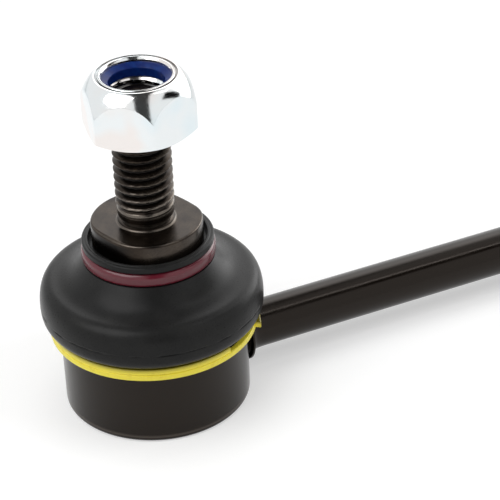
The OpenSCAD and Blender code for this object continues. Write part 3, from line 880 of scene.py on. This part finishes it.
def boot_lip(low):
    """The boot's neck from a given height up, and the stepped lip round the collar."""
    s = sizes("boot")
    stud = sizes("stud")
    seal_r = stud.seal_r + s.gap
    floor_z = COLLAR_TOP - stud.collar_t - s.gap
    neck_r = s.neck_r - s.neck_w - s.gap
    lip_r = stud.collar_r + s.lip_room
    lip_out = lip_r + s.lip_w
    lip_low = NECK_TOP + s.gap / 2
    step_z, step_out, step_in = BOOT_TOP - 0.12 * MM, lip_r + 0.55 * MM, lip_r + 0.45 * MM
    root_soft, low_soft, out_soft, step_soft, in_soft = 0.1 * MM, 0.25 * MM, 0.3 * MM, 0.08 * MM, 0.2 * MM
    return rounded([
        (neck_r, low, 0), (neck_r, lip_low, root_soft), (lip_out, lip_low, low_soft),
        (lip_out, step_z, out_soft), (step_out, step_z, step_soft), (step_in, BOOT_TOP, step_soft),
        (lip_r, BOOT_TOP, in_soft), (lip_r, floor_z, 0), (seal_r, floor_z, 0)])


def boot_outline():
    """Moulded boot: skirt, bulge, hollow cone, neck and lip, then back inside to the bead."""
    s = sizes("boot")
    b = sizes("body")
    seal_r = sizes("stud").seal_r + s.gap
    skirt = np.array((s.clamp_r - 2 * s.gap, CLAMP_TOP + 2 * s.gap))
    waist = np.array((s.boot_r, CLAMP_TOP + s.waist_h))
    shoulder = np.array((waist[0] - s.shoulder_in, waist[1] + s.shoulder_h))
    foot = np.array((s.neck_r - s.gap, NECK_LOW - s.gap))
    # Directions in degrees of the curves at the skirt, the shoulder and the neck, and how far they pull
    skirt_lean, valley, neck_lean = 30, 172, 128
    pull, waist_pull = 0.42, 0.6
    low = waist[1] - skirt[1]
    cone = np.linalg.norm(foot - shoulder) * pull
    mould_line = np.array([(0, -0.2), (0, -0.1), (0, 0), (0, 0.1), (0, 0.2)]) * MM
    outside = np.concatenate([
        bend(skirt, skirt + polar(low * pull, skirt_lean), waist - (0, low * waist_pull), waist, steps=16),
        waist + mould_line,
        bend(waist, waist + (0, s.shoulder_h * waist_pull),
             shoulder - polar(s.shoulder_h * pull, valley), shoulder, steps=24)[1:],
        bend(shoulder, shoulder + polar(cone, valley), foot - polar(cone, neck_lean), foot, steps=24),
        [foot]])
    inside = moved_left(outside, s.boot_wall)[::-1]
    inside = inside[(inside[:, 0] > seal_r) & (inside[:, 1] > HOUSING_TOP + s.gap)]
    groove_r = b.housing_r - b.groove_depth + s.gap
    groove_top = HOUSING_TOP - b.land_h - s.gap
    land_r = b.housing_r - b.land_in + s.gap
    bead_r = s.clamp_r - s.wire - s.gap
    bead = np.array([
        (land_r, HOUSING_TOP + s.gap), (land_r, groove_top), (groove_r, groove_top), (groove_r, BOOT_LOW),
        (bead_r, BOOT_LOW), (bead_r, CLAMP_TOP + s.gap)])
    return np.concatenate([outside, boot_lip(foot[1]), [(seal_r, inside[0, 1])], inside, bead])


def boot_rings():
    """The boot turned round its axis, with a broken groove where the halves of its mould met."""
    s = sizes("boot")
    outline = boot_outline()
    angles = even_angles(BOOT_COLUMNS)
    line_w = 0.1 * MM
    line = np.exp(-((outline[:, 1] - CLAMP_TOP - s.waist_h) / line_w) ** 2)
    line[outline[:, 0] < s.boot_r - s.boot_wall / 2] = 0
    # Two waves round the boot break the line at uneven places
    broken = np.clip(0.7 + np.sin(23 * angles) + 0.6 * np.sin(7 * angles + 1), 0, 1)
    across = outline[:, :1] - s.flash * line[:, None] * broken[None, :]
    return rings_at(across, np.repeat(outline[:, 1:], len(angles), axis=1), angles)


def wire_rings(angles, across, heights):
    """A rounded square wire swept round the joint's axis, and how far each point lies towards its top, where
    painted shade goes.
    """
    s = sizes("boot")
    half, soft = s.wire / 2, 0.22 * MM
    corners = [(-half, -half, soft), (half, -half, soft), (half, half, soft), (-half, half, soft)]
    section = rounded(corners, steps=4)
    radial = across[:, None] + section[None, :, 0]
    level = heights[:, None] + section[None, :, 1]
    angle = angles[:, None]
    rings = np.stack([radial * np.cos(angle), radial * np.sin(angle), level], axis=-1)
    return rings, np.clip(section[:, 1] / half, 0, 1)


def clamp_turns():
    """The clamp ring's wire: a closed lower turn, and an upper turn cut short with one end sprung out."""
    s = sizes("boot")
    mid_r = s.clamp_r - s.wire / 2
    # The lower turn sits a hair low, so that the two turns don't touch
    low_share = 0.97
    low_z = CLAMP_LOW + s.wire / 2 * low_share
    closed = wire_rings(even_angles(), np.full(COLUMNS, mid_r), np.full(COLUMNS, low_z))
    start = s.wire_end + s.wire_open
    spring_turn, end_drop = math.radians(26), 0.75 * MM
    upper = np.linspace(start, s.wire_end + FULL_TURN, COLUMNS)
    ease = np.clip(1 - (upper - start) / spring_turn, 0, 1) ** 2
    open_turn = wire_rings(upper, mid_r + s.wire_spring * ease, CLAMP_TOP - s.wire / 2 - end_drop * ease)
    return closed, open_turn


def neck_ring_outline():
    """Round-edged band that grips the boot's neck."""
    s = sizes("boot")
    inner_r, inner_soft = s.neck_r - s.neck_w, 0.1 * MM
    soft = s.neck_w * 0.88
    return rounded([
        (inner_r, NECK_LOW, inner_soft), (s.neck_r, NECK_LOW, soft / 2), (s.neck_r, NECK_TOP, soft),
        (inner_r, NECK_TOP, inner_soft)], steps=8)


def nut_crown():
    """The nut's crown: one curve from the corners in to the seam of the rolled collar."""
    s = sizes("nut")
    foot_pull, top_pull = 0.25, 0.35
    foot = (s.flats / 2 / math.cos(SIXTH_TURN / 2), NUT_LOW + s.hex_h)
    top = (s.roll_r + s.seam_w, NUT_TOP - s.roll_h)
    foot_end = (foot[0], foot[1] + foot_pull * (top[1] - foot[1]))
    top_end = (top[0] + top_pull * (foot[0] - top[0]), top[1])
    return np.concatenate([bend(foot, foot_end, top_end, top, steps=200), [top]])


def nut_body(angles):
    """Rows of the nut's chamfered foot, its sides with turned corners, and its crown."""
    s = sizes("nut")
    off_flat = np.abs((angles - s.nut_turn) % SIXTH_TURN - SIXTH_TURN / 2)
    side_r = np.minimum(s.flats / 2 / np.cos(off_flat), s.corner_r)
    # Each side reaches up to where the crown's curve has its radius
    curve = nut_crown()
    travel = np.linspace(0, 1, len(curve))
    meets = np.interp(-side_r, -curve[:, 0], travel)
    side_top = np.interp(meets, travel, curve[:, 1])
    chamfer = NUT_LOW + (side_r - s.washer_r) * math.tan(math.radians(30))
    lead_r = sizes("stud").thread_r + s.thread_room + 0.4 * MM
    foot_edge, foot_rise = 0.1 * MM, 0.03 * MM
    rows = [(lead_r, NUT_LOW), (s.washer_r - foot_edge, NUT_LOW), (s.washer_r, NUT_LOW + foot_rise)]
    for share in (0.5, 1.0):
        rows.append((s.washer_r + (side_r - s.washer_r) * share, NUT_LOW + (chamfer - NUT_LOW) * share))
    for share in (0.04, 0.35, 0.65, 0.96, 1.0):
        rows.append((side_r, chamfer + (side_top - chamfer) * share))
    for share in np.linspace(0.03, 1, 16):
        at = meets + (1 - meets) * share
        rows.append((np.interp(at, travel, curve[:, 0]), np.interp(at, travel, curve[:, 1])))
    return clean(rows)


def nut_collar(angles):
    """Rows of the rolled collar: seam darkened by oil and painted shade, rounded top, slope to the insert and the
    insert's pocket.
    """
    s = sizes("nut")
    crown_r, crown_z = s.roll_r + s.seam_w, NUT_TOP - s.roll_h
    seam_z, seam_soft = crown_z - 0.3 * MM, 0.04 * MM
    slope_w, slope_h = 0.25 * MM, 0.42 * MM
    out_soft, in_soft, mouth_soft = 0.18 * MM, 0.26 * MM, 0.1 * MM
    seat_z = INSERT_TOP + 0.03 * MM
    pocket_r, pocket_low = s.insert_r + 0.05 * MM, INSERT_LOW - 0.05 * MM
    outline = np.concatenate([
        rounded([
            (crown_r, crown_z, 0), (crown_r - seam_soft, seam_z, seam_soft), (s.roll_r, seam_z, seam_soft),
            (s.roll_r, NUT_TOP, out_soft), (s.mouth_r + slope_w, NUT_TOP, in_soft),
            (s.mouth_r, NUT_TOP - slope_h, mouth_soft), (s.mouth_r, seat_z, 0)])[1:],
        [(pocket_r, seat_z), (pocket_r, pocket_low)]])
    # The seam gets oil and painted shade, darkest on one side
    slack, clean_h, least_seam_shade = 0.01 * MM, 0.05 * MM, 0.35
    in_seam = (outline[:, 0] > s.roll_r - slack) & (outline[:, 1] < crown_z - clean_h)
    oil_and_shade = least_seam_shade + (1 - least_seam_shade) * np.cos((angles - s.seam_shade_turn) / 2) ** 2
    return [(across, up, oil_and_shade * seam_share) for (across, up), seam_share in zip(outline, in_seam)]


def nut_bore(angles):
    """Rows of the bore, downwards: a thread that matches the stud's, opened at both ends and darkened inside by
    oil and painted shade.
    """
    s = sizes("nut")
    stud = sizes("stud")
    top, low = INSERT_LOW - 0.06 * MM, NUT_LOW + 0.35 * MM
    opened_h, top_slope = 0.6 * MM, 0.8
    # Painted shade and oil darken the bore below its mouth
    clean_h, oil_and_shade = 0.5 * MM, 0.85
    outer_r = stud.thread_r + s.thread_room
    rows = []
    for height in np.linspace(top, low, int((top - low) / stud.thread_pitch * THREAD_ROWS)):
        opened = max(0.0, 1 - (height - low) / opened_h)
        countersink = outer_r - (top - height) * top_slope
        thread = outer_r - thread_dip(angles, height) * (1 - opened)
        rows.append((np.maximum(thread, countersink), height, oil_and_shade if height < top - clean_h else 0.0))
    return rows


def nut_rings():
    """Hexagon with turned corners, chamfered foot, domed crown, rolled collar and a threaded bore."""
    angles = even_angles(COLUMNS, sizes("nut").nut_turn)
    return stacked(nut_body(angles) + nut_collar(angles) + nut_bore(angles), angles)


def insert_outline():
    """Nylon ring with a rounded funnel down to its bore."""
    s = sizes("nut")
    funnel, bevel = 0.55 * MM, 0.35 * MM
    mouth_r = s.mouth_r - 0.15 * MM
    bore_soft, edge_soft, mouth_soft, funnel_soft = 0.1 * MM, 0.15 * MM, 0.25 * MM, 0.3 * MM
    return rounded([
        (s.insert_bore + bevel, INSERT_LOW, bore_soft), (s.insert_r, INSERT_LOW, edge_soft),
        (s.insert_r, INSERT_TOP, edge_soft), (mouth_r, INSERT_TOP, mouth_soft),
        (s.insert_bore, INSERT_TOP - funnel, funnel_soft), (s.insert_bore, INSERT_LOW + bevel, bore_soft)])


# Operators

class LINK_OT_rod(bpy.types.Operator):
    """Build the connecting rod"""
    bl_idname = "link.rod"
    bl_label = "Connecting rod"

    def execute(self, context):
        rod = piece("connecting_rod_finish", rod_rings(), satin_black_paint(), wrap=False)
        carry(rod, "link", "connecting_rod")
        return {"FINISHED"}


class LINK_OT_housings(bpy.types.Operator):
    """Build both housings and the weld flanges that join them to the rod"""
    bl_idname = "link.housings"
    bl_label = "Housings and welds"

    def execute(self, context):
        paint = bpy.data.materials["satin_black_paint"]
        outline = housing_outline()
        cup = revolve(outline, HOUSING_COLUMNS)
        flange = along_rod(revolve(weld_outline(), PLAIN_COLUMNS))
        for end in ENDS:
            housing = piece("housing_%s_finish" % end, at_end(cup, end), paint, grime=foot_highlight(outline))
            weld = piece("weld_%s_finish" % end, at_end(flange, end), paint)
            carry(housing, "link", "housing_" + end)
            carry(weld, "link", "weld_fillet_" + end)
        return {"FINISHED"}


class LINK_OT_covers(bpy.types.Operator):
    """Build the closing covers under the housings"""
    bl_idname = "link.covers"
    bl_label = "Closing covers"

    def execute(self, context):
        steel = pressed_steel()
        disc = revolve(cover_outline(), PLAIN_COLUMNS)
        for end in ENDS:
            cover = piece("closing_cover_%s_finish" % end, at_end(disc, end), steel, wrap=False)
            carry(cover, "link", "closing_cover_" + end)
        return {"FINISHED"}


class LINK_OT_seats(bpy.types.Operator):
    """Give the hidden ball seats their finish"""
    bl_idname = "link.seats"
    bl_label = "Ball seats"

    def execute(self, context):
        acetal = white_acetal()
        for end in ENDS:
            seat = frame["nodes"]["ball_seat_" + end]
            seat.data.materials.clear()
            seat.data.materials.append(acetal)
        return {"FINISHED"}


class LINK_OT_studs(bpy.types.Operator):
    """Build both ball studs"""
    bl_idname = "link.studs"
    bl_label = "Ball studs"

    def execute(self, context):
        phosphate = oiled_phosphate()
        rings, grime = stud_rings()
        for end in ENDS:
            stud = piece("ball_stud_%s_finish" % end, at_end(rings, end), phosphate, wrap=False, grime=grime)
            carry(stud, "stud_" + end, "ball_stud_" + end)
        return {"FINISHED"}


class LINK_OT_boots(bpy.types.Operator):
    """Build both dust boots, held at the housing"""
    bl_idname = "link.boots"
    bl_label = "Dust boots"

    def execute(self, context):
        s = sizes("boot")
        rubber = moulded_rubber()
        rings = boot_rings()
        for end in ENDS:
            boot = piece("dust_boot_%s_finish" % end, at_end(rings, end), rubber)
            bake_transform(boot)
            stands_for("dust_boot_" + end)
        return {"FINISHED"}


class LINK_OT_clamp_rings(bpy.types.Operator):
    """Wind the clamp rings round the boots' beads"""
    bl_idname = "link.clamp_rings"
    bl_label = "Clamp rings"

    def execute(self, context):
        yellow = yellow_coated_wire()
        (closed, _), (open_turn, top_shade) = clamp_turns()
        for end in ENDS:
            lower = piece("clamp_ring_%s_lower_turn" % end, at_end(closed, end), yellow)
            upper = piece(
                "clamp_ring_%s_upper_turn" % end, at_end(open_turn, end), yellow, wrap=False, grime=top_shade)
            for wire in (lower, upper):
                carry(wire, "link", "boot_clamp_ring_" + end)
        return {"FINISHED"}


class LINK_OT_neck_rings(bpy.types.Operator):
    """Build the rings that grip the boots' necks"""
    bl_idname = "link.neck_rings"
    bl_label = "Neck rings"

    def execute(self, context):
        wine = wine_coated_band()
        band = revolve(neck_ring_outline())
        for end in ENDS:
            ring = piece("neck_ring_%s_finish" % end, at_end(band, end), wine)
            carry(ring, "neck_" + end, "neck_ring_" + end)
        return {"FINISHED"}


class LINK_OT_nuts(bpy.types.Operator):
    """Build both lock nuts"""
    bl_idname = "link.nuts"
    bl_label = "Lock nuts"

    def execute(self, context):
        zinc = bright_zinc()
        rings, grime = nut_rings()
        for end in ENDS:
            nut = piece("lock_nut_%s_finish" % end, at_end(rings, end), zinc, grime=grime)
            carry(nut, "nut_" + end, "lock_nut_" + end)
        return {"FINISHED"}


class LINK_OT_inserts(bpy.types.Operator):
    """Build the nylon inserts of the lock nuts"""
    bl_idname = "link.inserts"
    bl_label = "Nylon inserts"

    def execute(self, context):
        nylon = blue_nylon()
        rings = revolve(insert_outline())
        for end in ENDS:
            insert = piece("nylon_insert_%s_finish" % end, at_end(rings, end), nylon)
            carry(insert, "insert_" + end, "nylon_insert_" + end)
        return {"FINISHED"}


# Studio

def direction(azimuth, elevation):
    """Direction to a place seen from the link: azimuth 0 is towards -Y, positive to +X."""
    flat = math.cos(elevation)
    return Vector((math.sin(azimuth) * flat, -math.cos(azimuth) * flat, math.sin(elevation)))


def softbox(name, power, size, place, aim):
    """A soft area light at a place, turned to a point."""
    lamp = bpy.data.lights.new(name, "AREA")
    lamp.shape = "RECTANGLE"
    lamp.size, lamp.size_y = size
    lamp.energy = power
    obj = bpy.data.objects.new(name, lamp)
    obj.location = place
    obj.rotation_euler = (Vector(aim) - Vector(place)).to_track_quat("-Z", "Y").to_euler()
    bpy.context.scene.collection.objects.link(obj)
    return obj


def board(name, left, right, front, back, height, material):
    """A level rectangle that belongs to the studio and not to the link."""
    corners = [(left, front, height), (right, front, height), (right, back, height), (left, back, height)]
    mesh = bpy.data.meshes.new(name)
    mesh.from_pydata(corners, [], [(0, 1, 2, 3)])
    mesh.materials.append(material)
    obj = bpy.data.objects.new(name, mesh)
    bpy.context.scene.collection.objects.link(obj)
    return obj


class LINK_OT_stage(bpy.types.Operator):
    """Set up the floor, the room, the lights and the camera"""
    bl_idname = "link.stage"
    bl_label = "Studio"

    def execute(self, context):
        self.floor()
        self.black_card()
        self.room()
        self.lights()
        self.camera()
        context.scene.view_settings.view_transform = "Standard"
        return {"FINISHED"}

    def floor(self):
        """A pale floor just under the link, which keeps its soft shadow and shows white elsewhere."""
        half, drop = 3.0, 0.02 * MM
        board("studio_floor", -half, half, -half, half, -drop, matt_white_floor())

    def black_card(self):
        """A card over the rod, on the camera's side, that only reflections see: it edges the rod's gleam."""
        left, right, front, back = -0.06, 0.11, -0.083, -0.041
        height = ROD_Z + 0.12
        card = board("black_card", left, right, front, back, height, matt_black_card())
        card.visible_camera = False
        card.visible_diffuse = False
        card.visible_shadow = False
        card.visible_transmission = False

    def room(self):
        """A room that is white to the eye, dim as soft light and patterned in reflections."""
        world = bpy.data.worlds.new("studio_room")
        bpy.context.scene.world = world
        world.use_nodes = True
        tree = world.node_tree
        tree.nodes.clear()
        rays = add(tree, "ShaderNodeLightPath").outputs
        mirror = add(tree, "ShaderNodeMath", {
            0: rays["Is Glossy Ray"], 1: rays["Is Transmission Ray"]}, operation="MAXIMUM")
        white = (1, 1, 1, 1)
        dim = add(tree, "ShaderNodeBackground", {"Color": white, "Strength": sizes("studio").ambient})
        walls = add(tree, "ShaderNodeBackground", {"Color": white, "Strength": self.reflected(tree)})
        backdrop = add(tree, "ShaderNodeBackground", {"Color": white, "Strength": 1.0})
        unseen = add(tree, "ShaderNodeMixShader", {0: mirror, 1: dim, 2: walls})
        whole = add(tree, "ShaderNodeMixShader", {0: rays["Is Camera Ray"], 1: unseen, 2: backdrop})
        add(tree, "ShaderNodeOutputWorld", {"Surface": whole})

    def reflected(self, tree):
        """Brightness of the room in reflections: dark in a gap overhead, bright behind and to the right."""
        facing = sizes("studio").camera_turn
        ahead, aside = direction(facing, 0), direction(facing + math.pi / 2, 0)
        place = add(tree, "ShaderNodeTexCoord").outputs["Generated"]
        near = add(tree, "ShaderNodeVectorMath", {0: place, 1: ahead}, operation="DOT_PRODUCT")
        side = add(tree, "ShaderNodeVectorMath", {0: place, 1: aside}, operation="DOT_PRODUCT")
        # The gap runs from over the camera to a little way behind the link
        slant, centre, darkness = 0.12, 0.06, 0.95
        middle = add(tree, "ShaderNodeMath", {0: near, 1: slant, 2: centre}, operation="MULTIPLY_ADD")
        off = add(tree, "ShaderNodeMath", {0: side, 1: middle}, operation="SUBTRACT")
        off = add(tree, "ShaderNodeMath", {0: off}, operation="ABSOLUTE")
        gap = add(tree, "ShaderNodeMapRange", {
            "Value": off, "From Min": 0.21, "From Max": 0.26, "To Min": 1.0, "To Max": 0.0},
            interpolation_type="SMOOTHSTEP")
        reach = add(tree, "ShaderNodeMapRange", {
            "Value": near, "From Min": -0.62, "From Max": -0.42}, interpolation_type="SMOOTHSTEP")
        dark = add(tree, "ShaderNodeMath", {0: gap, 1: reach}, operation="MULTIPLY")
        lit = add(tree, "ShaderNodeMath", {0: dark, 1: -darkness, 2: 1.0}, operation="MULTIPLY_ADD")
        # The wall behind is bright above its foot and ends to the left
        behind = add(tree, "ShaderNodeMapRange", {
            "Value": near, "From Min": -0.45, "From Max": -0.7, "To Min": 1.0, "To Max": 2.9},
            interpolation_type="SMOOTHSTEP")
        wall_foot = add(tree, "ShaderNodeMapRange", {
            "Value": near, "From Min": -0.74, "From Max": -0.94, "To Min": 1.0, "To Max": 0.55},
            interpolation_type="SMOOTHSTEP")
        wall = add(tree, "ShaderNodeMath", {0: behind, 1: wall_foot}, operation="MULTIPLY")
        wall_end = add(tree, "ShaderNodeMapRange", {
            "Value": side, "From Min": -0.45, "From Max": -0.2}, interpolation_type="SMOOTHSTEP")
        extra = add(tree, "ShaderNodeMath", {0: wall, 1: 1.0}, operation="SUBTRACT")
        wall = add(tree, "ShaderNodeMath", {0: extra, 1: wall_end, 2: 1.0}, operation="MULTIPLY_ADD")
        bright = add(tree, "ShaderNodeMath", {0: lit, 1: wall}, operation="MULTIPLY")
        # The far right corner is brighter still
        right = add(tree, "ShaderNodeMapRange", {
            "Value": side, "From Min": 0.4, "From Max": 0.75}, interpolation_type="SMOOTHSTEP")
        past = add(tree, "ShaderNodeMapRange", {
            "Value": near, "From Min": -0.1, "From Max": -0.5, "To Max": 2.2},
            interpolation_type="SMOOTHSTEP")
        return add(tree, "ShaderNodeMath", {0: right, 1: past, 2: bright}, operation="MULTIPLY_ADD")

    def lights(self):
        """A key softbox to the left, one behind for the shadow, a weak fill and a strip over the rod."""
        s = sizes("studio")
        aim = Vector((axis_x("front"), 0, HOUSING_TOP))
        distance = 0.8
        # Each softbox's turn from the camera and its elevation in degrees, and whether reflections show it
        for name, power, size, turned, elevation, mirrored in (
                ("key_softbox", s.key_power, (0.6, 0.6), -56, 50, True),
                ("back_softbox", s.back_power, (0.5, 0.5), -150, 76, False),
                ("fill_softbox", s.fill_power, (0.4, 0.5), 75, 40, False)):
            towards = direction(s.camera_turn + math.radians(turned), math.radians(elevation))
            softbox(name, power, size, aim + towards * distance, aim).visible_glossy = mirrored
        # The strip reaches out past the rear end, where the rod mirrors it to the camera
        strip_x, strip_size, strip_distance, strip_elevation = 0.2, (0.3, 0.035), 0.57, math.radians(74)
        over_rod = Vector((strip_x, 0, ROD_Z))
        strip_place = over_rod + direction(0, strip_elevation) * strip_distance
        softbox("strip_light", s.strip_power, strip_size, strip_place, over_rod)

    def camera(self):
        """A long lens that sees the front joint as the photograph does."""
        s = sizes("studio")
        back = direction(s.camera_turn, s.camera_height)
        right = Vector((math.cos(s.camera_turn), math.sin(s.camera_turn), 0))
        up = back.cross(right)
        lean_right = right * math.cos(s.camera_roll) + up * math.sin(s.camera_roll)
        lean_up = up * math.cos(s.camera_roll) - right * math.sin(s.camera_roll)
        data = bpy.data.cameras.new("photo_camera")
        data.sensor_width = 36.0
        data.lens = s.camera_lens
        data.clip_start = 0.01
        focal_px = s.camera_lens / data.sensor_width * IMAGE_PX
        across = (s.foot_px_x - IMAGE_PX / 2) / focal_px * s.camera_reach
        above = (IMAGE_PX / 2 - s.foot_px_y) / focal_px * s.camera_reach
        foot = Vector((axis_x("front"), 0, 0))
        place = foot - lean_right * across - lean_up * above + back * s.camera_reach
        camera = bpy.data.objects.new("photo_camera", data)
        axes = Matrix((lean_right, lean_up, back)).transposed()
        camera.matrix_world = Matrix.Translation(place) @ axes.to_4x4()
        bpy.context.scene.collection.objects.link(camera)
        bpy.context.scene.camera = camera


class LINK_PT_panel(bpy.types.Panel):
    """Sizes, colours and steps of the stabilizer link"""
    bl_idname = "LINK_PT_panel"
    bl_label = "Stabilizer link"
    bl_space_type = "VIEW_3D"
    bl_region_type = "UI"
    bl_category = "Link"

    def draw(self, context):
        for operator in OPERATORS:
            self.layout.operator(operator.bl_idname)
        for name, group in GROUPS.items():
            box = self.layout.box()
            box.label(text=group.__doc__)
            for key in group.__annotations__:
                box.prop(sizes(name), key)


GROUPS = {
    "body": LinkBodySizes, "stud": LinkStudSizes, "boot": LinkBootSizes, "nut": LinkNutSizes,
    "colours": LinkColours, "studio": LinkStudioSizes}
OPERATORS = (
    LINK_OT_stage, LINK_OT_rod, LINK_OT_housings, LINK_OT_covers, LINK_OT_seats, LINK_OT_studs, LINK_OT_boots,
    LINK_OT_clamp_rings, LINK_OT_neck_rings, LINK_OT_nuts, LINK_OT_inserts)


def register():
    for group in GROUPS.values():
        bpy.utils.register_class(group)
    for operator in OPERATORS:
        bpy.utils.register_class(operator)
    bpy.utils.register_class(LINK_PT_panel)
    for name, group in GROUPS.items():
        setattr(bpy.types.Scene, "link_" + name, PointerProperty(type=group))


def unregister():
    for name in GROUPS:
        delattr(bpy.types.Scene, "link_" + name)
    bpy.utils.unregister_class(LINK_PT_panel)
    for operator in reversed(OPERATORS):
        bpy.utils.unregister_class(operator)
    for group in reversed(list(GROUPS.values())):
        bpy.utils.unregister_class(group)


def main():
    register()
    bpy.ops.link.stage()
    bpy.ops.link.rod()
    bpy.ops.link.housings()
    bpy.ops.link.covers()
    bpy.ops.link.seats()
    bpy.ops.link.studs()
    bpy.ops.link.boots()
    bpy.ops.link.clamp_rings()
    bpy.ops.link.neck_rings()
    bpy.ops.link.nuts()
    bpy.ops.link.inserts()


if __name__ == "__main__":
    main()
